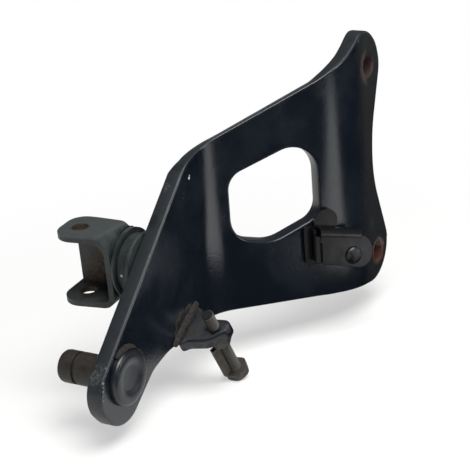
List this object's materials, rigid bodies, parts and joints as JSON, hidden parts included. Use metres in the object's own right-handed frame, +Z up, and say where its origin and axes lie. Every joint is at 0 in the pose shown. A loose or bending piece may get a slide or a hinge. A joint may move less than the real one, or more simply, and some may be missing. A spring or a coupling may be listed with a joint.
{
  "type": "motorcycle footrest hanger",
  "caption": "Bent steel plate with a window that bolts to a motorcycle frame and carries a footrest clevis, a pedal pivot pin, a pedal stop screw and a small spring clip.",
  "frame": {"origin": "point on the flat face of the plate that lies against the motorcycle frame, midway in height between the two frame bolt holes and at the middle of that flat's width", "axes": "+X rearward along the plate's frame flat, towards the bolt holes; +Y outboard, the way the pedal pivot pin and the clevis point; +Z up the line of the bolt holes"},
  "size_m": [0.2155, 0.1057, 0.1533],
  "materials": {
    "black_paint": "worn blue-black paint",
    "grey_black_paint": "faded grey-black paint with rust inside",
    "painted_weld": "weld bead with thin paint, brown rust showing",
    "tarnished_steel": "turned steel, tarnished brown",
    "dull_zinc": "dull zinc plate, dirty",
    "black_dipped_sheet": "glossy black dip coat"
  },
  "bodies": {
    "root": {"hanger_plate": "black_paint", "pedal_pivot_pin": "tarnished_steel", "pivot_head_weld_top": "painted_weld", "pivot_head_weld_side": "painted_weld", "pivot_outer_weld": "painted_weld", "clevis_boss": "black_paint", "clevis_flange": "black_paint", "peg_clevis": "grey_black_paint", "stop_tab": "black_paint", "stop_tab_weld": "painted_weld", "stop_screw": "dull_zinc", "stop_nut": "dull_zinc", "stop_strap": "dull_zinc", "clip_bracket": "black_dipped_sheet", "clip_rivet": "dull_zinc"}
  },
  "joints": []
}
